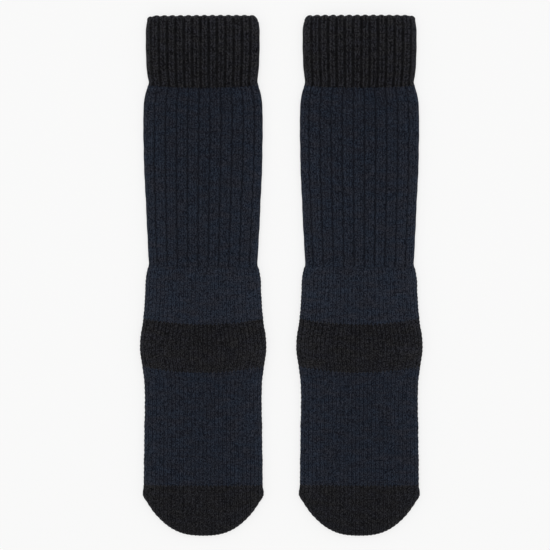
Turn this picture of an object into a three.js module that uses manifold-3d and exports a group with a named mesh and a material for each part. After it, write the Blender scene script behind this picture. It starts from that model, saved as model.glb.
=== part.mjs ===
// A pair of knitted boot socks, lying flat side by side with their heels up.
// Millimetres, +Z up. The cuffs point along +Y, and the flat undersides rest on z = 0.
import * as THREE from 'three';
import Module from 'manifold-3d';
import { mergeVertices } from 'three/addons/utils/BufferGeometryUtils.js';

const wasm = await Module();
wasm.setup();

// Lengths are measured down the sock from the top of its cuff.
const sockLength = 495;
const cuffEnd = 69.8;
const legEnd = 239;
const footEnd = 447.6;
const seamGap = 0.3;

// The two socks lie side by side, each with its own place for the ribs' first furrow.
const sockSpacing = 148.3;
const socks = [
  { name: 'left', x: -sockSpacing / 2, cuffFurrow: -2, legFurrow: -4.4, rimSlant: 1 },
  { name: 'right', x: sockSpacing / 2, cuffFurrow: 1.3, legFurrow: 4.5, rimSlant: 0 },
];

// The cloth is a thick terry-lined knit. The ribbed cloth is thinner between its ribs.
const plainWall = 3.8;
const furrowWall = 3.3;
const widestLevel = 0.42;
const floorRounding = 4.5;
const floorRoundingShare = 0.1;
const underPoints = 4;

// Sections down the sock: half the flat width, the slit left between the two layers inside, how square
// the upper face is, and how much further up the sock a row's ends lie than its middle.
const cuffRows = [
  { down: 2.6, half: 53.3, slit: 2.2, square: 2.8, lift: 0 },
  { down: 9, half: 53.7, slit: 1.8, square: 2.8, lift: 0 },
  { down: 26, half: 54, slit: 1.3, square: 2.8, lift: 0.4 },
  { down: 46, half: 53.3, slit: 1.2, square: 2.8, lift: 1.2 },
  { down: 62, half: 52.2, slit: 1.2, square: 2.8, lift: 2 },
  { down: cuffEnd - seamGap / 2, half: 52.2, slit: 1.2, square: 2.8, lift: 2.4 },
];
const legRows = [
  { down: cuffEnd + seamGap / 2, half: 52.3, slit: 1.2, square: 2.8, lift: 2.4 },
  { down: 74, half: 53.7, slit: 1.2, square: 2.8, lift: 2.3 },
  { down: 84, half: 55.7, slit: 1.2, square: 2.8, lift: 2 },
  { down: 107, half: 56.6, slit: 1.2, square: 2.8, lift: 1.4 },
  { down: 145, half: 55.8, slit: 1.2, square: 2.8, lift: 0.8 },
  { down: 190, half: 53.9, slit: 1.2, square: 2.8, lift: 0.4 },
  { down: 228, half: 52.1, slit: 1.2, square: 2.8, lift: 0.2 },
  { down: legEnd - seamGap / 2, half: 51.9, slit: 1.2, square: 2.8, lift: 0.2 },
];
const footRows = [
  { down: legEnd + seamGap / 2, half: 52.3, slit: 1.2, square: 2.7, lift: 0.2 },
  { down: 242, half: 53.3, slit: 1.2, square: 2.7, lift: 0.4 },
  { down: 250, half: 54.4, slit: 1.3, square: 2.6, lift: 1 },
  { down: 270, half: 55.4, slit: 1.8, square: 2.5, lift: 2.6 },
  { down: 288, half: 56.3, slit: 2.6, square: 2.4, lift: 4.6 },
  { down: 300, half: 57.5, slit: 3.2, square: 2.3, lift: 5.8 },
  { down: 309, half: 59.1, slit: 3.6, square: 2.3, lift: 6 },
  { down: 320, half: 60.1, slit: 3.8, square: 2.3, lift: 6 },
  { down: 332, half: 58.9, slit: 3.5, square: 2.3, lift: 6 },
  { down: 342, half: 57.3, slit: 2.8, square: 2.4, lift: 5.8 },
  { down: 352, half: 56.3, slit: 2.1, square: 2.5, lift: 4.6 },
  { down: 367, half: 55.8, slit: 1.5, square: 2.6, lift: 3 },
  { down: 395, half: 55.9, slit: 1.2, square: 2.7, lift: 1 },
  { down: 430, half: 56.2, slit: 1.2, square: 2.7, lift: 0.2 },
  { down: footEnd - seamGap / 2, half: 56.6, slit: 1.2, square: 2.7, lift: 0 },
];
const toeRows = [
  { down: footEnd + seamGap / 2, half: 56.8, slit: 1.2, square: 2.7, lift: 0 },
  { down: 453.5, half: 57.5, slit: 1.2, square: 2.6, lift: 0 },
];

// The ribs share out the way round one section. Points across one rib: where they lie between two furrows,
// and their share of the rib's height.
const cuffRib = {
  count: 28,
  height: 1.5,
  sharedAt: cuffRows[1],
  points: [
    { across: 0, rise: 0 },
    { across: 0.25, rise: 0.62 },
    { across: 0.5, rise: 1 },
    { across: 0.75, rise: 0.62 },
  ],
};
const legRib = {
  count: 22,
  height: 1.3,
  sharedAt: legRows[3],
  points: [
    { across: 0, rise: 0 },
    { across: 0.13, rise: 0.8 },
    { across: 0.5, rise: 1 },
    { across: 0.87, rise: 0.8 },
  ],
};
// The ribs are pressed flat where the cloth folds at the sock's two sides. These are shares of the rib's
// height and of the way over the upper face.
const sideRise = 0.45;
const sideFade = 0.035;
const sideFlat = 0.3;
const edgeMargin = 0.022;

// The plain inside of a tube follows only some of its sections.
const plainPoints = 25;
const legInsideStep = 3;
const footInsideStep = 1;

// The cuff's rim is rounded, its ribs end in small scallops, and its two corners are round.
const lipSteps = 4;
const scallop = 0.9;
const cornerDrop = 3.4;
const cornerSharpness = 11;
const rimReach = 20;

// The toe narrows to its tip as a power of the distance left, which gives slanting sides and a round end.
const toeStart = 456.3;
const toeHalf = 57.5;
const toePower = 0.4;
const toeSteps = 9;
const tipTopRounding = 13;
const tipFloorRounding = 4.5;

// The heel pocket: its upper and lower seams bow across the back, and it ends in a point below each side.
const heelTop = 293.8;
const heelBottom = 340.4;
const heelBow = 3.8;
const heelBowHalf = 47.5;
const goreStart = 52;
const goreEnd = 24;
const goreOverlap = 0.5;
const cutReach = 75;
const cutHeight = 20;
const bowSegments = 10;
const mergeTolerance = 1e-4;

const blackYarn = new THREE.MeshStandardMaterial({ color: 0x1e1e21, roughness: 0.95, metalness: 0 });
const navyYarn = new THREE.MeshStandardMaterial({ color: 0x23262f, roughness: 0.95, metalness: 0 });

// Half of a section's outline seen along the sock: up from the floor on the left, over the upper face
// and down to the floor on the right.
class UpperOutline extends THREE.Curve {
  constructor(section) {
    super();
    this.section = section;
    this.arcLengthDivisions = 240;
  }

  getPoint(t, target = new THREE.Vector2()) {
    const { half, floor, level, top, square } = this.section;
    const side = t < 0.5 ? -1 : 1;
    const fromFloor = Math.min(t, 1 - t) * 2;
    const rounding = Math.min(floorRounding, half);
    if (fromFloor < floorRoundingShare) {
      const turn = (fromFloor / floorRoundingShare) * Math.PI / 2;
      const out = half - rounding + rounding * Math.sin(turn);
      return target.set(side * out, level - (level - floor) * Math.cos(turn));
    }
    const turn = ((fromFloor - floorRoundingShare) / (1 - floorRoundingShare)) * Math.PI / 2;
    const out = half * Math.cos(turn) ** (2 / square);
    return target.set(side * out, level + (top - level) * Math.sin(turn) ** (2 / square));
  }
}

function sectionOf(row, wall) {
  const height = 2 * wall + row.slit;
  return {
    half: row.half,
    floor: 0,
    level: widestLevel * height,
    top: height,
    square: row.square,
    wall,
    slit: row.slit,
    height,
  };
}

// Places round a plain section: evenly over the upper face, then a few along the flat underside.
function plainPlaces() {
  const over = [];
  for (let i = 0; i < plainPoints; i += 1) {
    over.push({ over: i / (plainPoints - 1), rise: 0 });
  }
  return [...over, ...underPlaces()];
}

function underPlaces() {
  const under = [];
  for (let i = 1; i <= underPoints; i += 1) {
    under.push({ under: i / (underPoints + 1), rise: 0 });
  }
  return under;
}

// Places round a ribbed section: the ribs share out the whole way round, and those on the underside,
// where the cloth lies flat on the floor, are left plain.
function ribbedPlaces(rib, firstFurrow) {
  const section = sectionOf(rib.sharedAt, furrowWall);
  const upperLength = new UpperOutline(section).getLength();
  const underLength = 2 * (section.half - floorRounding);
  const ribShare = (upperLength + underLength) / rib.count / upperLength;
  const middle = 0.5 + firstFurrow / upperLength;
  const reach = Math.ceil(0.5 / ribShare) + 1;
  const places = [{ over: 0, rise: 0 }];
  for (let k = -reach; k <= reach; k += 1) {
    for (const point of rib.points) {
      const over = middle + (k + point.across) * ribShare;
      if (over > edgeMargin && over < 1 - edgeMargin) {
        const fade = Math.min(1, Math.min(over, 1 - over) / sideFade - sideFlat);
        places.push({ over, rise: point.rise * Math.max(0, fade) });
      }
    }
  }
  places.push({ over: 1, rise: 0 });
  return [...places, ...underPlaces()];
}

// One section's points, on the cloth's outside and on its plain inside.
function sectionRings(row, places, wall, ribHeight) {
  const section = sectionOf(row, wall);
  Object.assign(section, row.shape);
  const outline = new UpperOutline(section);
  const floorHalf = Math.max(0, section.half - Math.min(floorRounding, section.half));
  const outer = [];
  const inner = [];
  for (const place of places) {
    let point;
    let outward = new THREE.Vector2(0, -1);
    if (place.under === undefined) {
      point = outline.getPointAt(place.over);
      const along = outline.getTangentAt(place.over);
      outward = new THREE.Vector2(-along.y, along.x);
    } else {
      point = new THREE.Vector2(floorHalf * (1 - 2 * place.under), section.floor);
    }
    const rise = place.rise * ribHeight;
    const bow = (point.x / section.half) ** 2 || 0;
    const up = -row.down + row.lift * bow + (row.rim ? row.rim(point.x, place.rise) : 0);
    outer.push(new THREE.Vector3(point.x + outward.x * rise, up, point.y + outward.y * rise));
    const narrowed = row.innerScale ?? (row.half - section.wall) / row.half;
    const z = section.wall + point.y * (section.slit / section.height);
    inner.push(new THREE.Vector3(point.x * narrowed, up + (row.innerShift ?? 0), z));
  }
  return { outer, inner };
}

// A ring inside the wall's thickness, moved up the sock.
function between(section, inward, up) {
  return section.outer.map((point, i) => {
    const mixed = point.clone().lerp(section.inner[i], inward);
    mixed.y += up;
    return mixed;
  });
}

// Skins a run of rings, each with the same number of points or a single one at a pole. A run that comes
// back to its start is a tube's wall, and one between two poles is a pocket's.
function skin(rings, comesBack) {
  const positions = [];
  const starts = [];
  for (const ring of rings) {
    starts.push(positions.length / 3);
    ring.forEach((point) => positions.push(point.x, point.y, point.z));
  }
  const triangles = [];
  const last = comesBack ? rings.length : rings.length - 1;
  for (let r = 0; r < last; r += 1) {
    const here = rings[r];
    const next = rings[(r + 1) % rings.length];
    const a = starts[r];
    const b = starts[(r + 1) % rings.length];
    const count = Math.max(here.length, next.length);
    for (let i = 0; i < count; i += 1) {
      const j = (i + 1) % count;
      if (here.length === 1) triangles.push(a, b + i, b + j);
      else if (next.length === 1) triangles.push(a + i, b, a + j);
      else triangles.push(a + i, b + i, a + j, a + j, b + i, b + j);
    }
  }
  const geometry = new THREE.BufferGeometry();
  geometry.setAttribute('position', new THREE.Float32BufferAttribute(positions, 3));
  geometry.setIndex(triangles);
  return geometry;
}

// A wall round a tube that is open at both ends.
function tube(rows, places, wall, ribHeight, insideStep) {
  const sections = rows.map((row) => sectionRings(row, places, wall, ribHeight));
  const outer = sections.map((section) => section.outer);
  const kept = sections.filter((section, i) => i % insideStep === 0 || i === sections.length - 1);
  const inner = kept.map((section) => section.inner);
  return skin([...outer, ...inner.reverse()], true);
}

// The cuff has a rounded lip round its open top.
function cuffGeometry(sock) {
  const places = ribbedPlaces(cuffRib, sock.cuffFurrow);
  const rim = (x, rise, share) => {
    const corner = Math.min(1, Math.abs(x) / cuffRows[0].half) ** cornerSharpness;
    const slant = sock.rimSlant * (1 - x / cuffRows[0].half) / 2;
    return share * (scallop * rise - cornerDrop * corner - slant);
  };
  const rows = cuffRows.map((row) => {
    const share = Math.max(0, 1 - row.down / rimReach);
    return { ...row, half: row.half - cuffRib.height * sideRise, rim: (x, rise) => rim(x, rise, share) };
  });
  const sections = rows.map((row) => sectionRings(row, places, furrowWall, cuffRib.height));
  const lip = [];
  for (let i = 0; i < lipSteps; i += 1) {
    const turn = (i / lipSteps) * Math.PI;
    const inward = (1 + Math.cos(turn)) / 2;
    lip.push(between(sections[0], inward, (rows[0].down - scallop) * Math.sin(turn)));
  }
  const outer = sections.map((section) => section.outer);
  const belowLip = sections[2];
  return skin([...lip, ...outer, sections.at(-1).inner, belowLip.inner], true);
}

function legGeometry(sock) {
  const places = ribbedPlaces(legRib, sock.legFurrow);
  const rows = legRows.map((row) => ({ ...row, half: row.half - legRib.height * sideRise }));
  return tube(rows, places, furrowWall, legRib.height, legInsideStep);
}

// The toe pocket: from the seam round its two small corners and on to the closed tip.
function toeGeometry() {
  const places = plainPlaces();
  const length = sockLength - toeStart;
  const { height, level } = sectionOf(toeRows[0], plainWall);
  const rounded = (share) => Math.sqrt(1 - (1 - Math.min(1, share)) ** 2);
  const rows = [...toeRows];
  for (let i = 0; i < toeSteps; i += 1) {
    const share = 1 - i / toeSteps;
    const left = length * share ** (1 / toePower);
    const topShare = rounded(left / tipTopRounding);
    const floorShare = rounded(left / tipFloorRounding);
    rows.push({
      ...toeRows[1],
      down: sockLength - left,
      half: toeHalf * share,
      innerScale: (toeHalf - plainWall) / toeHalf,
      innerShift: plainWall * (1 - left / length),
      shape: { top: level + (height - level) * topShare, floor: level * (1 - floorShare) },
    });
  }
  const sections = rows.map((row) => sectionRings(row, places, plainWall, 0));
  const slitLevel = plainWall + level * (toeRows[0].slit / height);
  const tip = [new THREE.Vector3(0, -sockLength, level)];
  const innerTip = [new THREE.Vector3(0, plainWall - sockLength, slitLevel)];
  const outer = sections.map((section) => section.outer);
  const inner = sections.map((section) => section.inner);
  return skin([innerTip, ...inner.reverse(), ...outer, tip], false);
}

function solidOf(geometry) {
  const bare = geometry.clone();
  bare.deleteAttribute('normal');
  bare.deleteAttribute('uv');
  const merged = mergeVertices(bare, mergeTolerance);
  return new wasm.Manifold(new wasm.Mesh({
    numProp: 3,
    vertProperties: new Float32Array(merged.attributes.position.array),
    triVerts: new Uint32Array(merged.index.array),
  }));
}

function geometryOf(solid) {
  const mesh = solid.getMesh();
  const geometry = new THREE.BufferGeometry();
  geometry.setAttribute('position', new THREE.BufferAttribute(mesh.vertProperties, 3));
  geometry.setIndex(new THREE.BufferAttribute(mesh.triVerts, 1));
  return geometry;
}

function extruded(shape, from, to) {
  const settings = { depth: to - from, bevelEnabled: false, curveSegments: bowSegments };
  const geometry = new THREE.ExtrudeGeometry(shape, settings);
  geometry.translate(0, 0, from);
  return geometry;
}

// The space that the heel pocket takes out of the foot's tube: a bowed band over the back and sides, and
// below it, on each side, a wedge that runs in to the end of the gore.
function heelSpace(grow) {
  const top = -heelTop + grow;
  const bottom = -heelBottom - grow;
  const bowAt = (x) => heelBow * (x / heelBowHalf) ** 2;
  const rise = bowAt(cutReach);
  const band = new THREE.Shape();
  band.moveTo(-cutReach, bottom + rise);
  band.quadraticCurveTo(0, bottom - rise, cutReach, bottom + rise);
  band.lineTo(cutReach, top + rise);
  band.quadraticCurveTo(0, top - rise, -cutReach, top + rise);
  const split = plainWall + footRows[0].slit / 2;
  let space = solidOf(extruded(band, split - grow, cutHeight));
  const middle = (top + bottom) / 2 + bowAt(goreEnd);
  for (const side of [-1, 1]) {
    const corners = [
      [goreEnd - grow, middle],
      [goreStart, bottom + bowAt(goreStart)],
      [cutReach, bottom + rise],
      [cutReach, top + rise],
      [goreStart, top + bowAt(goreStart)],
    ];
    const wedge = new THREE.Shape(corners.map(([x, y]) => new THREE.Vector2(side * x, y)));
    space = space.add(solidOf(extruded(wedge, -cutHeight, split + goreOverlap)));
  }
  return space;
}

function footAndHeel() {
  const whole = solidOf(tube(footRows, plainPlaces(), plainWall, 0, footInsideStep));
  return {
    foot: geometryOf(whole.subtract(heelSpace(seamGap / 2))),
    heel: geometryOf(whole.intersect(heelSpace(-seamGap / 2))),
  };
}

const pair = new THREE.Group();
for (const sock of socks) {
  const { foot, heel } = footAndHeel();
  const pieces = {
    cuff: [cuffGeometry(sock), blackYarn],
    leg: [legGeometry(sock), navyYarn],
    foot: [foot, navyYarn],
    heel: [heel, blackYarn],
    toe: [toeGeometry(), blackYarn],
  };
  const laid = new THREE.Group();
  laid.position.set(sock.x, sockLength / 2, 0);
  for (const [piece, [geometry, yarn]] of Object.entries(pieces)) {
    const mesh = new THREE.Mesh(geometry, yarn);
    mesh.name = `${sock.name}_${piece}`;
    laid.add(mesh);
  }
  pair.add(laid);
}

export default pair;
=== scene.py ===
import bpy
import math
import numpy as np
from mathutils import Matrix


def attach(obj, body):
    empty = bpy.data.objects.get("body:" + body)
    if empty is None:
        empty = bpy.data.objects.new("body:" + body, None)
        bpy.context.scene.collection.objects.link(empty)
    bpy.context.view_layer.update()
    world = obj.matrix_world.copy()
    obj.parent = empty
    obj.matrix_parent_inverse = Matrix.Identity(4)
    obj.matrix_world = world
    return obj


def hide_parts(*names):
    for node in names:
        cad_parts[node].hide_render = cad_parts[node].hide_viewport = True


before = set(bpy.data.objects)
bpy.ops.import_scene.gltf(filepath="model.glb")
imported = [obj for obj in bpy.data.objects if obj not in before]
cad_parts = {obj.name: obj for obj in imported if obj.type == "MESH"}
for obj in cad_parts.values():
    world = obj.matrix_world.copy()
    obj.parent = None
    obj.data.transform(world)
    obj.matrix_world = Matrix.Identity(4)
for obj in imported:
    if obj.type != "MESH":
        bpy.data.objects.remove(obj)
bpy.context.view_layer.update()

bpy.ops.object.select_all(action="DESELECT")

# The studio: the pair lies on a white light table and is photographed from straight above with a long lens.
# The table glows a little, so the socks cast hardly a shadow and their edges are lit from below.
MM = 0.001
PHOTO_PIXELS = 550
PIXEL = 0.95 * MM
frame_width = PHOTO_PIXELS * PIXEL
pair_right_of_centre = 6.3 * PIXEL
pair_below_centre = 0.5 * PIXEL
camera_lens = 100.0
camera_sensor = 36.0
camera_reach = 50.0
knit_level = 4 * MM
camera_height = knit_level + frame_width * camera_lens / camera_sensor
table_size = 8.0
table_below_socks = 0.1 * MM
table_glow = 0.66
table_strength = 1.045
table_colour = (0.93, 0.93, 0.925, 1)
sky_colour = (1.0, 1.0, 1.0, 1)
sky_strength = 0.62
lamp_size = 1.6
lamp_height = 1.5
lamp_above_middle = 0.1
lamp_power = 6.0


class Value:
    """A number inside a material. Arithmetic on it adds Math nodes."""

    def __init__(self, shader, socket):
        self.shader = shader
        self.socket = socket

    def maths(self, operation, *others):
        inputs = dict(enumerate((self, *others)))
        return self.shader.node("ShaderNodeMath", {"operation": operation}, inputs)

    def swapped(self, operation, first):
        return self.shader.node("ShaderNodeMath", {"operation": operation}, {0: first, 1: self})

    def __add__(self, other):
        return self.maths("ADD", other)

    def __radd__(self, other):
        return self.maths("ADD", other)

    def __sub__(self, other):
        return self.maths("SUBTRACT", other)

    def __rsub__(self, other):
        return self.swapped("SUBTRACT", other)

    def __mul__(self, other):
        return self.maths("MULTIPLY", other)

    def __rmul__(self, other):
        return self.maths("MULTIPLY", other)

    def clamped(self, low=0.0, high=1.0):
        return self.maths("MAXIMUM", low).maths("MINIMUM", high)


class Shader:
    """One material. node() adds a node, sets it, fills its inputs, and returns one output."""

    def __init__(self, name):
        self.material = bpy.data.materials.new(name)
        self.material.use_nodes = True
        self.tree = self.material.node_tree
        self.tree.nodes.clear()

    def node(self, kind, settings=None, inputs=None, output=0):
        made = self.tree.nodes.new(kind)
        for name, setting in (settings or {}).items():
            setattr(made, name, setting)
        for name, value in (inputs or {}).items():
            if isinstance(value, Value):
                self.tree.links.new(value.socket, made.inputs[name])
            else:
                made.inputs[name].default_value = value
        return Value(self, made.outputs[output]) if made.outputs else None

    def surface(self, shading):
        self.node("ShaderNodeOutputMaterial", None, {"Surface": shading})
        return self.material


table_shader = Shader("white_table")
table_diffuse = table_shader.node("ShaderNodeBsdfDiffuse", None, {"Color": table_colour})
table_light = table_shader.node("ShaderNodeEmission", None, {"Color": sky_colour, "Strength": table_strength})
table_mix = table_shader.node("ShaderNodeMixShader", None, {0: table_glow, 1: table_diffuse, 2: table_light})
bpy.ops.mesh.primitive_plane_add(size=table_size, location=(0, 0, -table_below_socks))
table = bpy.context.object
table.name = "white_table"
table.data.materials.append(table_shader.surface(table_mix))

bpy.ops.object.light_add(type="AREA", location=(0, lamp_above_middle, lamp_height))
lamp = bpy.context.object
lamp.data.shape = "DISK"
lamp.data.size = lamp_size
lamp.data.energy = lamp_power
world = bpy.data.worlds.new("pale_studio")
bpy.context.scene.world = world
world.use_nodes = True
world.node_tree.nodes["Background"].inputs["Color"].default_value = sky_colour
world.node_tree.nodes["Background"].inputs["Strength"].default_value = sky_strength
bpy.context.scene.view_settings.view_transform = "Standard"

camera_place = (-pair_right_of_centre, pair_below_centre, camera_height)
bpy.ops.object.camera_add(location=camera_place, rotation=(0, 0, 0))
camera = bpy.context.object
camera.data.lens = camera_lens
camera.data.sensor_width = camera_sensor
camera.data.clip_end = camera_reach
bpy.context.scene.camera = camera

# The cuffs: a black woolly rib, twenty-eight ribs round. Each rib is one wale of V-shaped stitches, with a
# purl wale sunk beside it. The cuff is knitted first and turned over at an elastic rim, where its ribs end
# in small scallops.
SOCKS = {"left": -1, "right": 1}
sock_spacing = 148.3 * MM
sock_length = 495 * MM
first_row = 2.6 * MM
cuff_end = 69.8 * MM
cuff_furrow = {"left": -2.0 * MM, "right": 1.3 * MM}
rim_slant = {"left": 0.6 * MM, "right": 0.0}
rim_top = 0.2 * MM
cuff_lean = {"left": -0.57 * MM, "right": 0.35 * MM}
floor_rounding = 4.5 * MM
widest_level = 0.42
plain_wall = 3.8 * MM
furrow_wall = 3.3 * MM
cuff_narrowing = 0.675 * MM
cuff_ribs = 28
cuff_gauge_row = 20
cuff_steps, cuff_under_steps = 12, 6
cuff_rows_per_course = 6
cuff_inner_step = 16
cuff_rise = 1.9 * MM
cuff_end_fade = 3 * MM
cuff_end_rise = 0.35
rib_half, rib_squareness = 0.47, 2.4
cuff_crown_share, cuff_stitch_share = 0.7, 0.3
cuff_yarn_thickness = 0.115
side_level = 0.5
rib_rest = 0.1
lean_fade = 10 * MM
cloth_seed = 11
side_reach = 3.5 * MM
cuff_course = 4.1 * MM
scallop = 5.2 * MM
scallop_reach = 6 * MM
scallop_sharpness = 2.6
corner_drop = 2.4 * MM
corner_sharpness = 34
rim_reach = 20 * MM
lip_rows = 10
cuff_side_reach = 6.5 * MM
cuff_light = 1.56
# Painted light that grows towards the rim over the cuff's puffed top.
cuff_painted_rim_light = 0.32
painted_rim_light_reach = 45 * MM
# Painted highlights on the rounded rim: a narrow band under it and the rolled lip.
rim_glow = 0.35
rim_glow_reach = 2.5 * MM
lip_glow = 1.5
# Painted shade of the cuff: the dark purl furrows with lighter flecks, the ribs darker low between the
# stitches, and dashes down their grooves.
furrow_edge, furrow_softness = 0.43, 0.13
furrow_sway = 0.02
rim_closing, rim_closing_reach = 0.5, 3.5 * MM
purl_light, purl_fleck, purl_per_course = 0.02, 0.22, 1.6
rib_light, stitch_light = 0.16, 0.98
rib_groove_depth = 0.55
# Painted light towards the folded sides, for the light from the table and the sheen of loose fibres there.
side_glow = 0.3
cuff_painted_fuzz_sheen = 1.0
yarn_fleck = 0.9
inside_light = 0.3
inside_tone = 0.5
tones_per_cuff_rib = 4

# Sections down a flattened sock, in mm: half its width, the slit between its two layers, how square its upper
# face is, and how much further up a row's ends lie than its middle.
SECTIONS = np.array([
    # down, half, slit, square, lift
    (2.6, 53.3, 2.2, 2.8, 0.0),
    (9, 54.2, 1.8, 2.8, 0.0),
    (24, 54.6, 1.3, 2.8, 0.4),
    (46, 54.0, 1.2, 2.8, 1.2),
    (60, 52.8, 1.2, 2.8, 2.0),
    (67, 52.1, 1.2, 2.8, 2.3),
    (72, 53.3, 1.2, 2.8, 2.4),
    (76, 54.6, 1.2, 2.8, 2.3),
    (84, 56.0, 1.2, 2.8, 2.0),
    (107, 56.8, 1.2, 2.8, 1.4),
    (145, 56.0, 1.2, 2.8, 0.8),
    (190, 54.2, 1.2, 2.8, 0.4),
    (228, 52.2, 1.2, 2.8, 0.2),
    (239, 51.7, 1.2, 2.75, 0.2),
    (243, 52.9, 1.2, 2.7, 0.4),
    (250, 54.0, 1.3, 2.6, 1.0),
    (270, 55.3, 1.8, 2.5, 2.6),
    (288, 56.3, 2.6, 2.4, 4.6),
    (300, 57.5, 3.2, 2.3, 5.8),
    (309, 58.9, 3.6, 2.3, 6.0),
    (320, 59.9, 3.8, 2.3, 6.0),
    (332, 58.7, 3.5, 2.3, 6.0),
    (342, 57.0, 2.8, 2.4, 5.8),
    (352, 55.9, 2.1, 2.5, 4.6),
    (367, 55.5, 1.5, 2.6, 3.0),
    (395, 55.8, 1.2, 2.7, 1.0),
    (430, 56.2, 1.2, 2.7, 0.2),
    (447.6, 56.7, 1.2, 2.7, 0.0),
    (453.5, 57.5, 1.2, 2.6, 0.0),
    (456.3, 57.5, 1.2, 2.6, 0.0),
])


def eased(down):
    """Each column of the sections at the lengths asked for, on smooth curves through the rows."""
    at = np.clip(down / MM, SECTIONS[0, 0], SECTIONS[-1, 0])
    known = SECTIONS[:, 0]
    i = np.clip(np.searchsorted(known, at, side="right") - 1, 0, len(known) - 2)
    step = known[i + 1] - known[i]
    t = (at - known[i]) / step
    columns = []
    for values in SECTIONS[:, 1:].T:
        slope = np.gradient(values, known)
        slope[np.isclose(np.r_[0, np.diff(values)], 0) | np.isclose(np.r_[np.diff(values), 0], 0)] = 0
        curve = (2 * t**3 - 3 * t**2 + 1) * values[i] + (3 * t**2 - 2 * t**3) * values[i + 1]
        curve += step * ((t**3 - 2 * t**2 + t) * slope[i] + (t**3 - t**2) * slope[i + 1])
        columns.append(curve)
    half, slit, square, lift = columns
    return half * MM, slit * MM, square, lift * MM


def section_rows(down, wall, narrower=0.0):
    """All that shapes the rows of one piece, as arrays with a value for each row."""
    half, slit, square, lift = eased(down)
    height = 2 * wall + slit
    return {
        "down": down,
        "half": half - narrower,
        "floor": np.zeros_like(down),
        "level": widest_level * height,
        "top": height.copy(),
        "square": square,
        "lift": lift,
        "wall": wall,
        "slit": slit,
        "height": height,
        "under": np.maximum(0.02 * MM, half - narrower - floor_rounding),
        "inner_scale": (half - narrower - wall) / (half - narrower),
        "inner_shift": np.zeros_like(down),
    }


def outline(rows, r):
    """The upper part of one section, from the floor on the left over to the floor on the right."""
    half, floor, level, top = (rows[k][r] for k in ("half", "floor", "level", "top"))
    rounding = min(floor_rounding, half)
    low_points, high_points = 40, 260
    low = np.linspace(0, math.pi / 2, low_points)
    high = np.linspace(0, math.pi / 2, high_points)[1:]
    power = 2 / rows["square"][r]
    x = np.r_[half - rounding + rounding * np.sin(low), half * np.abs(np.cos(high)) ** power]
    z = np.r_[level - (level - floor) * np.cos(low), level + (top - level) * np.sin(high) ** power]
    x = np.r_[-x, x[-2::-1]]
    z = np.r_[z, z[-2::-1]]
    return x, z, np.r_[0, np.cumsum(np.hypot(np.diff(x), np.diff(z)))]


UNDER_LEFT, OVER, UNDER_RIGHT, WEDGE_LEFT, WEDGE_RIGHT = range(5)


def wale_columns(rows, r, wales, furrow, fine, coarse):
    """Columns round a section, at even steps of each wale: their zone, their place in it, and the wale.
    The last entry of the wales is where the round closes, in the middle of the underside."""
    over_length = outline(rows, r)[2][-1]
    under_half = max(0.0, rows["half"][r] - floor_rounding)
    pitch = (over_length + 2 * under_half) / wales
    fold = over_length / 2
    edges = np.array([-fold - under_half, -fold, fold, fold + under_half])
    edges = (edges - furrow) / pitch
    closest = 0.35
    zones, places, wale = [], [], []
    for zone, steps, a, b in (
        (UNDER_LEFT, coarse, edges[0], edges[1]),
        (OVER, fine, edges[1], edges[2]),
        (UNDER_RIGHT, coarse, edges[2], edges[3]),
    ):
        inside = np.arange(math.ceil(a * steps), math.floor(b * steps) + 1) / steps
        inside = inside[(inside > a + closest / steps) & (inside < b - closest / steps)]
        start = [] if zone == UNDER_RIGHT else [a]
        end = [b] if zone == OVER else []
        u = np.r_[start, inside, end]
        zones.append(np.full(len(u), zone))
        places.append((u - a) / (b - a))
        wale.append(u)
    return np.concatenate(zones), np.concatenate(places), np.r_[np.concatenate(wale), edges[3]], pitch


def lay(rows, zones, places, shape_rim=None):
    """Points of the cloth's outer side, flattened on the table, and of its plain inner side."""
    count = len(rows["down"])
    x = np.zeros((count, len(zones)))
    z = np.zeros_like(x)
    for r in range(count):
        line_x, line_z, line_s = outline(rows, r)
        over = zones == OVER
        at = places[over] * line_s[-1]
        x[r, over] = np.interp(at, line_s, line_x)
        z[r, over] = np.interp(at, line_s, line_z)
        inner_edge = rows["under"][r]
        outer_edge = max(inner_edge, rows["half"][r] - min(floor_rounding, rows["half"][r]))
        z[r, ~over] = rows["floor"][r]
        for zone, a, b in (
            (UNDER_LEFT, 0, -inner_edge),
            (UNDER_RIGHT, inner_edge, 0),
            (WEDGE_LEFT, -inner_edge, -outer_edge),
            (WEDGE_RIGHT, outer_edge, inner_edge),
        ):
            x[r, zones == zone] = a + (b - a) * places[zones == zone]
    half = rows["half"][:, None]
    y = -rows["down"][:, None] + rows["lift"][:, None] * (x / np.maximum(half, MM)) ** 2
    if shape_rim is not None:
        y = y + shape_rim(x, half)
    outer = np.stack([x, y, z], axis=-1)
    inner_z = rows["wall"] + z * (rows["slit"] / rows["height"])[:, None]
    inner = np.stack([x * rows["inner_scale"][:, None], y + rows["inner_shift"][:, None], inner_z], axis=-1)
    return outer, inner


def outward(points, around):
    """Unit vectors that stand out of a grid of points."""
    padded = np.concatenate([points[:, -1:], points, points[:, :1]], axis=1) if around else points
    along = np.gradient(points, axis=0)
    across = np.gradient(padded, axis=1)
    if around:
        across = across[:, 1:-1]
    normal = np.cross(along, across)
    size = np.linalg.norm(normal, axis=-1, keepdims=True)
    return -normal / np.maximum(size, 1e-12)


def smooth_step(value):
    t = np.clip(value, 0, 1)
    return t * t * (3 - 2 * t)


def raise_knit(points, around, knit, rise, rest):
    """Moves the plain cloth out by its knit. On the upper face the plain cloth is at the share called rest of
    the knit's height, and underneath its crowns lie on the table."""
    normal = outward(points, around)
    turn_gain = 1.3
    facing_down = smooth_step(-normal[..., 2] * turn_gain)
    base = rest + (1 - rest) * facing_down
    return points + normal * (rise * (knit - base))[..., None]


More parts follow.
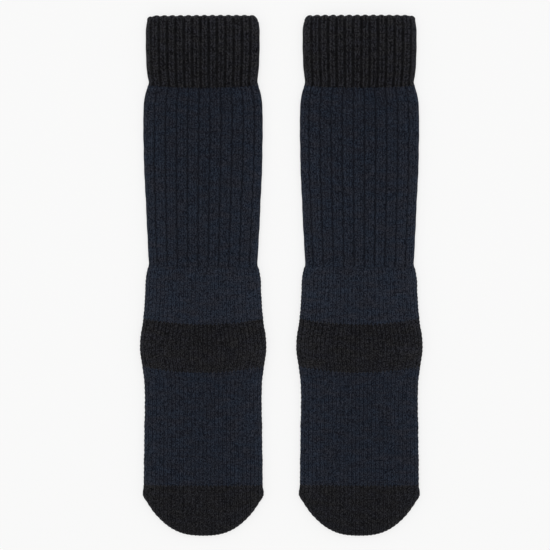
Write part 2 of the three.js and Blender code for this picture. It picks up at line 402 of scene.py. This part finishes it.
def settle(points, seed):
    """The slight unevenness of real cloth: long soft swells on the upper face and a wandering edge."""
    random = np.random.default_rng(seed)
    edge_share = 0.7
    full_height, full_half = 8 * MM, 55 * MM
    x, y, z = points[..., 0], points[..., 1], points[..., 2]
    swell = np.zeros_like(x)
    wander = np.zeros_like(x)
    for length, size in ((90, 0.1), (47, 0.08), (28, 0.06), (17, 0.04)):
        for _ in range(3):
            angle, phase, shift = random.uniform(0, 2 * math.pi, 3)
            wave = 2 * math.pi / (length * MM)
            swell += size * MM * np.sin(wave * (x * math.cos(angle) + y * math.sin(angle)) + phase)
            wander += edge_share * size * MM * np.sin(wave * y + shift)
    high = np.clip(z / full_height, 0, 1.3)
    sideways = wander * np.clip(x / full_half, -1, 1)
    return points + np.stack([sideways, np.zeros_like(x), swell * high], axis=-1)


def quads(ids, u, v, around, flip, skip=None):
    """Faces over a grid of vertex numbers, with the wale and course of each corner."""
    if around:
        ids = np.concatenate([ids, ids[:, :1]], axis=1)
    corners = []
    for grid in (ids, u, v):
        corners.append(np.stack([grid[:-1, :-1], grid[1:, :-1], grid[1:, 1:], grid[:-1, 1:]], axis=-1))
    keep = np.ones(corners[0].shape[:2], bool)
    if skip is not None:
        keep[skip[0]:skip[1], skip[2]:skip[3]] = False
    made = [grid[keep] for grid in corners]
    return [grid[:, ::-1] for grid in made] if flip else made


def make_wall(name, outer, inner, kept, u, v, around, opening=None, closed_end=False):
    """A wall of cloth: the knitted outer side, the plain inner side on a few of its rows, and the edges
    between them. u has a column more than the points where the cloth goes round."""
    rows, columns = outer.shape[:2]
    outer_ids = np.arange(rows * columns).reshape(rows, columns)
    inner_ids = rows * columns + np.arange(len(kept) * columns).reshape(len(kept), columns)
    points = np.concatenate([outer.reshape(-1, 3), inner[kept].reshape(-1, 3)])
    inner_opening = None
    if opening is not None:
        row_a, row_b, col_a, col_b = opening
        inner_opening = (kept.index(row_a), kept.index(row_b), col_a, col_b)
    parts = [
        quads(outer_ids, u, v, around, False, opening),
        quads(inner_ids, u[kept], v[kept], around, True, inner_opening),
    ]

    def edge(first, second, edge_u, edge_v, goes_round, flip):
        lines = [np.stack(pair) for pair in ((first, second), (edge_u, edge_u), (edge_v, edge_v))]
        parts.append(quads(*lines, goes_round, flip))

    edge(inner_ids[0], outer_ids[0], u[0], v[0], around, False)
    if not closed_end:
        edge(inner_ids[-1], outer_ids[-1], u[-1], v[-1], around, True)
    if not around:
        edge(outer_ids[kept, 0], inner_ids[:, 0], u[kept, 0], v[kept, 0], False, True)
        edge(outer_ids[kept, -1], inner_ids[:, -1], u[kept, -1], v[kept, -1], False, False)
    if opening is not None:
        span = slice(col_a, col_b + 1)
        inner_a, inner_b = inner_opening[:2]
        edge(inner_ids[inner_a, span], outer_ids[row_a, span], u[row_a, span], v[row_a, span], False, True)
        edge(inner_ids[inner_b, span], outer_ids[row_b, span], u[row_b, span], v[row_b, span], False, False)
        down = slice(row_a, row_b + 1)
        inner_down = slice(inner_a, inner_b + 1)
        for column, flip in ((col_a, False), (col_b, True)):
            edge(outer_ids[down, column], inner_ids[inner_down, column], u[down, column], v[down, column],
                 False, flip)
    faces = np.concatenate([part[0] for part in parts])
    face_u = np.concatenate([part[1] for part in parts])
    face_v = np.concatenate([part[2] for part in parts])
    mesh = bpy.data.meshes.new(name)
    mesh.vertices.add(len(points))
    mesh.vertices.foreach_set("co", points.ravel())
    mesh.loops.add(faces.size)
    mesh.loops.foreach_set("vertex_index", faces.ravel())
    mesh.polygons.add(len(faces))
    mesh.polygons.foreach_set("loop_start", np.arange(0, faces.size, 4))
    mesh.update(calc_edges=True)
    layer = mesh.uv_layers.new(name="stitches")
    layer.data.foreach_set("uv", np.stack([face_u, face_v], axis=-1).ravel())
    piece = bpy.data.objects.new(name, mesh)
    bpy.context.collection.objects.link(piece)
    return piece


def add_attribute(piece, name, outer_values, spare):
    """A number at each point of the knit. The plain inner side takes the spare value."""
    values = np.full(len(piece.data.vertices), spare, dtype=np.float32)
    values[:outer_values.size] = outer_values.ravel()
    piece.data.attributes.new(name, "FLOAT", "POINT").data.foreach_set("value", values)


def finish_piece(piece, material, node):
    """Merges points that coincide, smooths the piece, and puts it in the place of its CAD node."""
    merge_distance = 0.02 * MM
    bpy.ops.object.select_all(action="DESELECT")
    piece.select_set(True)
    bpy.context.view_layer.objects.active = piece
    bpy.ops.object.mode_set(mode="EDIT")
    bpy.ops.mesh.select_all(action="SELECT")
    bpy.ops.mesh.remove_doubles(threshold=merge_distance)
    bpy.ops.object.mode_set(mode="OBJECT")
    bpy.ops.object.shade_smooth()
    bpy.ops.object.select_all(action="DESELECT")
    piece.data.materials.append(material)
    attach(piece, "root")
    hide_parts(node)


def scattered(a, b):
    """An even spread of numbers from 0 to 1, always the same for the same pair of whole numbers."""
    mixed = np.sin(a * 12.9898 + b * 78.233) * 43758.5453
    return mixed - np.floor(mixed)


def stitches(wale, course, apart=0.12, slant=0.15, thick=0.13):
    """Plain knitting, 0 to 1 high. Each stitch is a V of two slanting legs of yarn, whose feet stand close
    together in the stitch below. The grooves between the wales stay open. No two are quite alike."""
    course_shift = 0.4
    middle_height = 0.45
    leg_length = 1.35
    column = np.floor(wale)
    from_middle = np.abs(wale - column - 0.5)
    course = course + course_shift * scattered(column, 3)
    row = np.floor(course)
    height = middle_height * np.sqrt(np.clip(1 - (from_middle / (apart + slant)) ** 2, 0, None))
    for before in (-1, 0, 1):
        along = row - course + 1 + before
        centre = apart + slant * along
        width = thick * (0.8 + 0.4 * scattered(column, row + before))
        leg = np.sqrt(np.clip(1 - ((from_middle - centre) / width) ** 2, 0, None))
        bow = np.cos(np.clip((along - 0.5) / leg_length, -0.5, 0.5) * math.pi)
        height = np.maximum(height, leg * bow)
    return height


def dashes(wale, course, depth, width=0.19):
    """Painted shade in the thin grooves between the wales, 1 beside them: a row of short dark dashes, one a
    course.
    """
    least_deep, spread_of_depth = 0.35, 1.3
    darkest = 0.95
    border = np.round(wale)
    shift = course + scattered(border, 5)
    deep = depth * (least_deep + spread_of_depth * scattered(border, np.floor(shift)))
    along = np.sin((shift - np.floor(shift)) * math.pi)
    groove = 1 - smooth_step(np.abs(wale - border) / width)
    return 1 - np.clip(deep * groove * (0.6 + 0.6 * along), 0, darkest)


def yarn_material(name, shade, tint, other_tint, grain):
    """Matt woolly yarn: its colour is darkened by painted shade between the stitches and lightened by painted
    light at the folded sides, as the relief attribute gives, uneven in tone from stitch to stitch, spun of
    two tints of fibre, with a sheen of loose fibres that catches the light at the edges."""
    fibre_scale, tuft_scale, heather_scale = 1300.0, 420.0, 110.0
    drawn_down, drawn_across = (1.4, 0.6, 1.0), (0.5, 1.5, 1.0)
    middle_light = 0.45
    stitch_share, tuft_share = 0.12, 0.15
    heather_middle, heather_contrast = 0.35, 3.3
    stretch = {"operation": "MULTIPLY"}
    mix_settings = {"data_type": "RGBA"}
    shader = Shader(name)
    place = shader.node("ShaderNodeTexCoord", None, None, output=3)
    # The relief attribute is the knit's lightness: painted shade in the grooves, painted light at the folded
    # sides, and the yarn's own specks.
    relief = shader.node("ShaderNodeAttribute", {"attribute_name": "relief"}, None, output=2)
    tone = shader.node("ShaderNodeAttribute", {"attribute_name": "tone"}, None, output=2)
    along_wales = shader.node("ShaderNodeVectorMath", stretch, {0: place, 1: drawn_down})
    along_courses = shader.node("ShaderNodeVectorMath", stretch, {0: place, 1: drawn_across})
    fibres = shader.node(
        "ShaderNodeTexNoise", None, {"Vector": along_wales, "Scale": fibre_scale, "Detail": 0.0}
    )
    tufts = shader.node(
        "ShaderNodeTexNoise", None, {"Vector": along_wales, "Scale": tuft_scale, "Detail": 1.0}
    )
    heather = shader.node(
        "ShaderNodeTexNoise", None, {"Vector": along_courses, "Scale": heather_scale, "Detail": 2.0}
    )
    uneven = middle_light + (tone - 0.5) * stitch_share + (fibres - 0.5) * grain + (tufts - 0.5) * tuft_share
    blend = ((heather - heather_middle) * heather_contrast).clamped()
    spun = shader.node("ShaderNodeMix", mix_settings, {0: blend, 6: (*tint, 1), 7: (*other_tint, 1)}, 2)
    level = (relief * uneven).clamped()
    mixed = shader.node("ShaderNodeMix", mix_settings, {0: level, 6: (*shade, 1), 7: spun}, 2)
    bump = shader.node(
        "ShaderNodeBump", None, {"Strength": 0.5, "Distance": 0.3 * MM, "Height": fibres + tufts}
    )
    shading = shader.node(
        "ShaderNodeBsdfPrincipled",
        None,
        {
            "Base Color": mixed,
            "Roughness": 0.92,
            "Specular IOR Level": 0.04,
            "Sheen Weight": 0.12,
            "Sheen Roughness": 0.45,
            "Normal": bump,
        },
    )
    return shader.surface(shading)


black_shade = (0.0016, 0.0017, 0.0022)
black_tints = (0.0322, 0.033, 0.0412), (0.034, 0.0334, 0.0358)
black_grain = 2.9
black_yarn = yarn_material("black_yarn", black_shade, *black_tints, black_grain)


comb_pitch = 3.65 * MM
comb_depth = 1.0 * MM
comb_reach = 4 * MM


def comb(points, rows, border):
    """Where the yarn changes, each wale of the upper colour dips a little into the lower one."""
    wale = np.floor(points[..., 0] / comb_pitch)
    tooth = np.abs(points[..., 0] / comb_pitch - wale - 0.5) * 4 - 1
    tooth = tooth * (0.5 + scattered(wale, round(border / MM)))
    near = smooth_step(1 - np.abs(rows["down"] - border) / comb_reach)[:, None]
    return points + np.stack([tooth * 0, tooth * near * comb_depth, tooth * 0], axis=-1)


def quiet_sides(relief, points, rows, level, reach=side_reach):
    """The sides are folds, where the ribs are pressed together and stand at nearly one height."""
    pressed = 0.8
    half = rows["half"][:, None]
    share = pressed * smooth_step((np.abs(points[..., 0]) - half + reach) / reach)
    return relief + (level - relief) * share


def with_painted_side_light(relief, points, rows, glow=side_glow, painted_fuzz_sheen=0.75, reach=side_reach):
    """How light each point of the knit is: the painted shade down in the grooves, evened out at the folded
    sides, and painted light that grows towards the folded sides, standing in for the light from the table and
    the sheen of loose fibres there."""
    fold_light = 0.6
    relief = quiet_sides(relief, points, rows, fold_light, reach)
    out = np.abs(points[..., 0]) / np.maximum(rows["half"][:, None], MM)
    fold = smooth_step((np.abs(points[..., 0]) - rows["half"][:, None]) / side_reach + 1)
    return relief * (1 + glow * out**3 + painted_fuzz_sheen * fold)


def flecked(lightness, contrast):
    """The specks of a yarn spun from light and dark fibres, no two alike."""
    row, column = np.indices(lightness.shape)
    return lightness * (1 + contrast * (scattered(column, row) - 0.5))


def place_on_table(points, name):
    placed = points + np.array([SOCKS[name] * sock_spacing / 2, sock_length / 2, 0])
    placed[..., 2] = np.maximum(placed[..., 2], 0)
    return placed


def courses(start, end, course, steps):
    """Lengths down the sock at even steps of each course, and the course at each."""
    count = round((end - start) / course)
    return np.linspace(start, end, count * steps + 1), np.linspace(0, count, count * steps + 1)


for name in SOCKS:
    down, course = courses(first_row, cuff_end, cuff_course, cuff_rows_per_course)
    rows = section_rows(down, furrow_wall, cuff_narrowing)
    zones, places, rib, _ = wale_columns(
        rows, cuff_gauge_row, cuff_ribs, cuff_furrow[name], cuff_steps, cuff_under_steps
    )
    u = np.tile(rib, (len(down), 1))
    v = np.tile(course[:, None], (1, len(rib)))
    across = u[:, :-1] - np.floor(u[:, :-1])
    crown = np.sqrt(np.clip(1 - (np.abs(across - 0.5) / rib_half) ** rib_squareness, 0, None))
    knit_wale = stitches(u[:, :-1], v[:, :-1], thick=cuff_yarn_thickness)
    fade = smooth_step((cuff_end - down) / cuff_end_fade)[:, None]

    def rim_shape(x, half, slant=rim_slant[name], down=down, across=across):
        """How far up each point of the rim stands: scallops between the ribs, and lower corners."""
        share = np.clip(1 - down / rim_reach, 0, 1)[:, None]
        corner = np.minimum(1, np.abs(x) / half) ** corner_sharpness
        near_rim = np.clip(1 - down / scallop_reach, 0, 1)[:, None]
        notch = near_rim * -np.abs(2 * across - 1) ** scallop_sharpness
        return share * (scallop * notch - corner_drop * corner - slant * (1 - x / half) / 2)

    plain, inner = lay(rows, zones, places, rim_shape)
    lean = cuff_lean[name] * smooth_step((cuff_end - down) / lean_fade)[:, None]
    plain[..., 0] += lean
    inner[..., 0] += lean
    beside = np.round(u[:, :-1])
    wobble = furrow_sway * np.sin(v[:, :-1] * 2.3 + beside * 5)
    wobble = wobble + furrow_sway * np.sin(v[:, :-1] * 5.9 + beside * 3)
    on_rib = smooth_step((furrow_edge + wobble - np.abs(across - 0.5)) / furrow_softness)
    below_rim = down - first_row
    rim_fade = rim_closing * smooth_step(1 - below_rim / rim_closing_reach)[:, None]
    on_rib = on_rib + rim_fade * (1 - on_rib)
    # Painted shade: the sunk purl furrows are dark, flecked a little lighter, and the ribs are darker low
    # between the stitches and in dashes down their grooves; then painted light is added towards the folded
    # sides.
    purl = purl_light + purl_fleck * scattered(beside, np.floor(v[:, :-1] * purl_per_course))
    ribs = (rib_light + stitch_light * knit_wale) * dashes(u[:, :-1] + 0.5, v[:, :-1], rib_groove_depth)
    lightness = with_painted_side_light(purl + on_rib * (ribs - purl), plain, rows, side_glow, cuff_painted_fuzz_sheen, cuff_side_reach)
    # Painted light: the cuff grows lighter towards the rim, as its puffed top meets the light.
    painted_rim_light = cuff_painted_rim_light * smooth_step(1 - below_rim / painted_rim_light_reach)[:, None]
    lightness = flecked(lightness, yarn_fleck) * (cuff_light + painted_rim_light)
    relief = cuff_crown_share * crown + cuff_stitch_share * knit_wale
    relief = relief * (cuff_end_rise + (1 - cuff_end_rise) * fade)
    relief = quiet_sides(relief, plain, rows, side_level)
    knitted = settle(raise_knit(comb(plain, rows, cuff_end), True, relief, cuff_rise, rib_rest), cloth_seed)
    inner = settle(inner, cloth_seed)
    turn = np.linspace(0, 1, lip_rows, endpoint=False)[1:, None, None] * math.pi
    lip = inner[0] + (knitted[0] - inner[0]) * (1 - np.cos(turn)) / 2
    lip[..., 1] += (down[0] - rim_top) * np.sin(turn[..., 0])
    knitted = np.concatenate([inner[:1], lip, knitted])
    u = np.concatenate([np.tile(u[:1], (lip_rows, 1)), u])
    v = np.concatenate([v[:1] - np.linspace(1, 0, lip_rows, endpoint=False)[:, None], v])
    # Painted highlights: a narrow band under the rim and the rolled lip are lighter, where the rounded rim
    # catches the light.
    lightness = lightness * (1 + rim_glow * smooth_step(1 - below_rim / rim_glow_reach))[:, None]
    lightness = np.concatenate([np.tile(lightness[:1] * lip_glow, (lip_rows, 1)), lightness])
    inner = np.concatenate([np.tile(inner[:1], (lip_rows, 1, 1)), inner])
    kept = [*range(lip_rows, len(knitted) - 1, cuff_inner_step), len(knitted) - 1]
    cuff = make_wall(f"{name}_cuff_knit", place_on_table(knitted, name), place_on_table(inner, name),
                     kept, u, v, True)
    add_attribute(cuff, "relief", lightness, inside_light)
    tone = scattered(np.floor(u[:, :-1] * tones_per_cuff_rib), np.floor(v[:, :-1]))
    add_attribute(cuff, "tone", tone, inside_tone)
    finish_piece(cuff, black_yarn, f"{name}_cuff")

# The legs: a navy woolly rib, twenty-two broad flat ribs round, each of three wales with a narrow furrow
# beside it. They are knitted on from the cuff and draw in towards the ankle.
leg_end = 240 * MM
leg_furrow = {"left": -3.9 * MM, "right": 4.5 * MM}
leg_drift = {"left": -1.2 * MM, "right": 0.3 * MM}
leg_narrowing = 0.2 * MM
leg_ribs = 22
leg_gauge_row = 60
leg_steps, leg_under_steps = 18, 9
leg_rows_per_course = 5
tones_per_leg_rib = 6
leg_inner_step = 24
leg_rise = 1.7 * MM
leg_course = 4.4 * MM
leg_top_fade, leg_end_fade = 2.5 * MM, 5 * MM
leg_end_rise = 0.4
leg_crown_share, leg_stitch_share = 0.72, 0.28
rib_shoulder = 0.86
furrow_share = 0.1
stitch_edge = 1.4
# Painted shade of the leg: wavering dark furrows bridged here and there, dashes down the grooves, and darker
# cloth between the stitches.
slow_sway, quick_sway = 0.03, 0.025
furrow_bridge, bridges_per_course = 0.2, 1.7
leg_groove_depth, leg_groove_width = 0.34, 0.25
grooved_half = 0.3
leg_light = 0.97
leg_valley_light = 0.7
leg_fade = 0.13
leg_fade_start, leg_fade_length = 110 * MM, 80 * MM
fleck_fading = 4
navy_shade = (0.002, 0.003, 0.0062)
navy_tints = (0.0346, 0.0456, 0.0692), (0.0404, 0.0436, 0.0582)
navy_grain = 2.2
navy_yarn = yarn_material("navy_yarn", navy_shade, *navy_tints, navy_grain)

for name in SOCKS:
    down, course = courses(cuff_end, leg_end, leg_course, leg_rows_per_course)
    rows = section_rows(down, furrow_wall, leg_narrowing)
    zones, places, rib, pitch = wale_columns(
        rows, leg_gauge_row, leg_ribs, leg_furrow[name], leg_steps, leg_under_steps
    )
    u = rib - leg_drift[name] / pitch * smooth_step((down - cuff_end) / (leg_end - cuff_end))[:, None]
    v = np.tile(course[:, None], (1, len(rib)))
    across = u[:, :-1] - np.floor(u[:, :-1])
    border = np.round(u[:, :-1])
    from_furrow = np.minimum(across, 1 - across)
    rounded = rib_shoulder + (1 - rib_shoulder) * np.sin(across * math.pi)
    crown = smooth_step(from_furrow / furrow_share) * rounded
    wale = 4 * across - 0.5
    knit_wale = stitches(wale, v[:, :-1]) * smooth_step(from_furrow / furrow_share * stitch_edge)
    paler = leg_fade * smooth_step((down - leg_fade_start) / leg_fade_length)[:, None]
    end_fade = smooth_step((leg_end - down) / leg_end_fade) * smooth_step((down - cuff_end) / leg_top_fade)
    plain, inner = lay(rows, zones, places)
    crown = leg_crown_share * crown * (leg_end_rise + (1 - leg_end_rise) * end_fade[:, None])
    relief = crown + leg_stitch_share * knit_wale
    relief = quiet_sides(relief, plain, rows, side_level)
    knitted = settle(raise_knit(comb(plain, rows, cuff_end), True, relief, leg_rise, rib_rest), cloth_seed)
    kept = [*range(0, len(knitted) - 1, leg_inner_step), len(knitted) - 1]
    leg = make_wall(f"{name}_leg_knit", place_on_table(knitted, name),
                    place_on_table(settle(inner, cloth_seed), name), kept, u, v, True)
    # Painted shade: the furrows are dark, wavering and bridged here and there, the cloth between the stitches
    # is darker, and short dark dashes run down the grooves between the wales; then painted light is added
    # towards the folded sides.
    wobble = slow_sway * np.sin(v[:, :-1] * 2.1 + border * 5)
    wobble = wobble + quick_sway * np.sin(v[:, :-1] * 5.3 + border * 3)
    wavering = np.abs(u[:, :-1] - border + wobble)
    bridged = furrow_bridge * scattered(border, np.floor(v[:, :-1] * bridges_per_course))
    broken = bridged + (1 - bridged) * smooth_step(wavering / furrow_share)
    thin_lines = dashes(wale, v[:, :-1], leg_groove_depth, leg_groove_width)
    grooves = np.where(np.abs(across - 0.5) < grooved_half, thin_lines, 1)
    lightness = leg_light * broken * (leg_valley_light + (1 - leg_valley_light) * knit_wale) * grooves
    lightness = flecked(lightness, yarn_fleck - fleck_fading * paler)
    add_attribute(leg, "relief", with_painted_side_light(lightness, plain, rows) * (1 + paler), inside_light)
    tone = scattered(np.floor(u[:, :-1] * tones_per_leg_rib), np.floor(v[:, :-1]))
    add_attribute(leg, "tone", tone, inside_tone)
    finish_piece(leg, navy_yarn, f"{name}_leg")

# The feet: a plain navy tube, sixty-two wales round, knitted on from the leg. The heel pocket is knitted into
# the opening over the back, and the instep runs on unbroken under it to the toe.
foot_end = 446.4 * MM
foot_wales = 62
foot_gauge_row = -30
foot_steps, foot_under_steps = 6, 3
foot_rows_per_course = 5
tones_per_wale = 2
foot_inner_steps = 15, 20
foot_rise = 0.6 * MM
foot_course = 4.3 * MM
heel_top = 293.8 * MM
heel_bottom = 339.4 * MM
gore_end = 24 * MM
plain_rest = 0.6
# Painted shade of the plain knit: darker where the stitches lie low and in dashes down the grooves.
plain_light = 0.72
groove_depth, groove_width = 0.72, 0.19
middle_depth = 0.32
foot_light = 1.09


def plain_knit_shade(relief, wale, course, depth=groove_depth, width=groove_width):
    """Painted shade of plain knit: each wale shows as two thin legs of yarn, darker where the stitches lie
    low, with a faint painted shade line between them and a darker one beside.
    """
    tone = (plain_light + (1 - plain_light) * relief) * dashes(wale, course, depth, width)
    return tone * dashes(wale + 0.5, course, middle_depth)


heel_courses = 11
ankle_paler = 0.2


def heel_lines(rows):
    """The underside between the two gores narrows to the gores' ends half way down the heel."""
    share = np.clip((rows["down"] - heel_top) / (heel_bottom - heel_top), 0, 1)
    closed = 1 - np.abs(2 * share - 1)
    floor_half = rows["half"] - floor_rounding
    rows["under"] = floor_half + (gore_end - floor_half) * closed


def foot_rows():
    """Lengths and courses down the foot, and the first and last row of the heel, whose rows are even."""
    parts = [
        courses(leg_end, heel_top, foot_course, foot_rows_per_course),
        (np.linspace(heel_top, heel_bottom, heel_courses * foot_rows_per_course + 1), None),
        courses(heel_bottom, foot_end, foot_course, foot_rows_per_course),
    ]
    down = np.concatenate([parts[0][0], parts[1][0][1:], parts[2][0][1:]])
    heel_course = np.linspace(0, heel_courses, heel_courses * foot_rows_per_course + 1)
    first = parts[0][1][-1]
    course = np.concatenate([
        parts[0][1],
        first + heel_course[1:],
        first + heel_courses + parts[2][1][1:],
    ])
    heel_first = len(parts[0][0]) - 1
    return down, course, heel_first, heel_first + heel_courses * foot_rows_per_course


for name in SOCKS:
    down, course, heel_first, heel_last = foot_rows()
    rows = section_rows(down, plain_wall)
    zones, places, wale, _ = wale_columns(
        rows, foot_gauge_row, foot_wales, 0, foot_steps, foot_under_steps
    )
    heel_lines(rows)
    plain, inner = lay(rows, zones, places)
    u = np.tile(wale, (len(down), 1))
    v = np.tile(course[:, None], (1, len(wale)))
    relief = stitches(u[:, :-1], v[:, :-1])
    for border in (heel_top, heel_bottom, foot_end):
        plain = comb(plain, rows, border)
    knitted = settle(raise_knit(plain, True, relief, foot_rise, plain_rest), cloth_seed)
    over = np.flatnonzero(zones == OVER)
    above_step, below_step = foot_inner_steps
    kept = [*range(0, heel_first, above_step), *range(heel_first, heel_last + 1),
            *range(heel_last + above_step, len(down) - 1, below_step), len(down) - 1]
    foot = make_wall(f"{name}_foot_knit", place_on_table(knitted, name),
                     place_on_table(settle(inner, cloth_seed), name), kept, u, v, True,
                     opening=(heel_first, heel_last, over[0], over[-1]))
    paler = ankle_paler * smooth_step((heel_bottom - down) / (heel_bottom - heel_top))[:, None]
    # Painted shade in the grooves and low between the stitches, and painted light towards the folded sides.
    lightness = foot_light * plain_knit_shade(relief, u[:, :-1], v[:, :-1]) * (1 + paler)
    add_attribute(foot, "relief", with_painted_side_light(lightness, plain, rows), inside_light)
    tone = scattered(np.floor(u[:, :-1] * tones_per_wale), np.floor(v[:, :-1]))
    add_attribute(foot, "tone", tone, inside_tone)
    finish_piece(foot, navy_yarn, f"{name}_foot")

# The heels: a black pocket knitted in short rows. It covers the back and both sides at its full height and
# runs out to a point under each side, where its two gores end.
wedge_columns = 14
heel_bulge, bulge_share = 7.5 * MM, 0.9
# Painted shade deeper and wider in the grooves near the heel's top, and painted light towards its folded
# sides.
heel_border_depth, heel_border_width = 0.2, 0.07
heel_light = 1.1
heel_glow = 0.5
for name in SOCKS:
    down, course, heel_first, heel_last = foot_rows()
    rows = section_rows(down, plain_wall)
    zones, places, wale, pitch = wale_columns(
        rows, foot_gauge_row, foot_wales, 0, foot_steps, foot_under_steps
    )
    heel_lines(rows)
    over = zones == OVER
    share = np.linspace(0, 1, wedge_columns, endpoint=False)
    zones = np.r_[np.full(wedge_columns, WEDGE_LEFT), zones[over], np.full(wedge_columns, WEDGE_RIGHT)]
    places = np.r_[share, places[over], share + 1 / wedge_columns]
    plain, inner = lay(rows, zones, places)
    over_wale = wale[:-1][over]
    u = np.tile(np.r_[share * 0, over_wale, share * 0], (len(down), 1))
    edge = (rows["half"] - floor_rounding)[:, None]
    left, right = zones == WEDGE_LEFT, zones == WEDGE_RIGHT
    u[:, left] = over_wale[0] - (edge + plain[:, left, 0]) / pitch
    u[:, right] = over_wale[-1] + (edge - plain[:, right, 0]) / pitch
    v = np.tile(course[:, None], (1, len(zones)))
    relief = stitches(u, v)
    for border in (heel_top, heel_bottom):
        plain = comb(plain, rows, border)
    down_heel = np.clip((down - heel_top) / (heel_bottom - heel_top), 0, 1)[:, None]
    out = plain[..., 0] / rows["half"][:, None]
    spread = out * np.clip(1 - np.abs(out) / bulge_share, 0, 1) * np.sin(down_heel * math.pi)
    plain[..., 0] += np.where(zones == OVER, heel_bulge * spread, 0)
    knitted = settle(raise_knit(plain, False, relief, foot_rise, plain_rest), cloth_seed)
    part = slice(heel_first, heel_last + 1)
    heel = make_wall(f"{name}_heel_knit", place_on_table(knitted[part], name),
                     place_on_table(settle(inner, cloth_seed)[part], name),
                     list(range(heel_last - heel_first + 1)), u[part], v[part], False)
    # Painted shade: the dashes down the grooves are darker and wider near the heel's top, and painted light
    # grows towards the folded sides.
    near_top = smooth_step(1.3 - down_heel * 2.0)
    deep = groove_depth + heel_border_depth * near_top
    wide = groove_width + heel_border_width * near_top
    lightness = heel_light * plain_knit_shade(relief, u, v, deep, wide)
    lightness = with_painted_side_light(lightness, plain, rows, heel_glow)
    add_attribute(heel, "relief", lightness[part], inside_light)
    tone = scattered(np.floor(u * tones_per_wale), np.floor(v))
    add_attribute(heel, "tone", tone[part], inside_tone)
    finish_piece(heel, black_yarn, f"{name}_heel")

# The toes: a black pocket that closes the foot. Two small corners show where its gores begin, and from there
# the sides slant in to a round end.
toe_start = 456.3 * MM
toe_half = 57.5 * MM
toe_power = 0.385
toe_light = 1.05
toe_row_step = 0.85 * MM
toe_inner_step = 4
toe_outline_points = 600
tip_top_rounding = 13 * MM
tip_floor_rounding = 4.5 * MM
tip_swell = 0.5 * MM
tip_length = sock_length - tip_swell - toe_start

for name in SOCKS:
    top_down, _ = courses(foot_end, toe_start, foot_course, foot_rows_per_course)
    share = np.linspace(1, 0, toe_outline_points)
    edge = np.stack([toe_half * share, tip_length * share ** (1 / toe_power)])
    along = np.r_[0, np.cumsum(np.hypot(*np.diff(edge)))]
    share = np.interp(np.linspace(0, along[-1], round(along[-1] / toe_row_step)), along, share)
    left_over = tip_length * share ** (1 / toe_power)
    down = np.concatenate([top_down[:-1], toe_start + tip_length - left_over])
    rows = section_rows(down, plain_wall)
    count = len(top_down) - 1
    rows["half"][count:] = toe_half * share
    top_share = np.sqrt(1 - (1 - np.minimum(1, left_over / tip_top_rounding)) ** 2)
    floor_share = np.sqrt(1 - (1 - np.minimum(1, left_over / tip_floor_rounding)) ** 2)
    level = rows["level"][count:]
    rows["top"][count:] = level + (rows["height"][count:] - level) * top_share
    rows["floor"][count:] = level * (1 - floor_share)
    rows["under"][count:] = np.maximum(0, rows["half"][count:] - floor_rounding)
    rows["inner_scale"][count:] = (toe_half - plain_wall) / toe_half
    rows["inner_shift"][count:] = plain_wall * (1 - left_over / tip_length)
    zones, places, _, pitch = wale_columns(rows, 0, foot_wales, 0, foot_steps, foot_under_steps)
    plain, inner = lay(rows, zones, places)
    over_length = np.array([outline(rows, r)[2][-1] for r in range(len(down))])[:, None]
    u = np.where(zones == OVER, (places - 0.5) * over_length, -plain[..., 0]) / pitch
    u = np.concatenate([u, u[:, :1]], axis=1)
    v = np.tile((down[:, None] - foot_end) / foot_course, (1, len(zones) + 1))
    relief = stitches(u[:, :-1], v[:, :-1])
    plain = comb(plain, rows, foot_end)
    knitted = settle(raise_knit(plain, True, relief, foot_rise, plain_rest), cloth_seed)
    kept = [*range(0, len(down) - 1, toe_inner_step), len(down) - 1]
    toe = make_wall(f"{name}_toe_knit", place_on_table(knitted, name),
                    place_on_table(settle(inner, cloth_seed), name), kept, u, v, True, closed_end=True)
    # Painted shade in the grooves and low between the stitches, and painted light towards the folded sides.
    lightness = toe_light * plain_knit_shade(relief, u[:, :-1], v[:, :-1])
    add_attribute(toe, "relief", with_painted_side_light(lightness, plain, rows), inside_light)
    tone = scattered(np.floor(u[:, :-1] * tones_per_wale), np.floor(v[:, :-1]))
    add_attribute(toe, "tone", tone, inside_tone)
    finish_piece(toe, black_yarn, f"{name}_toe")
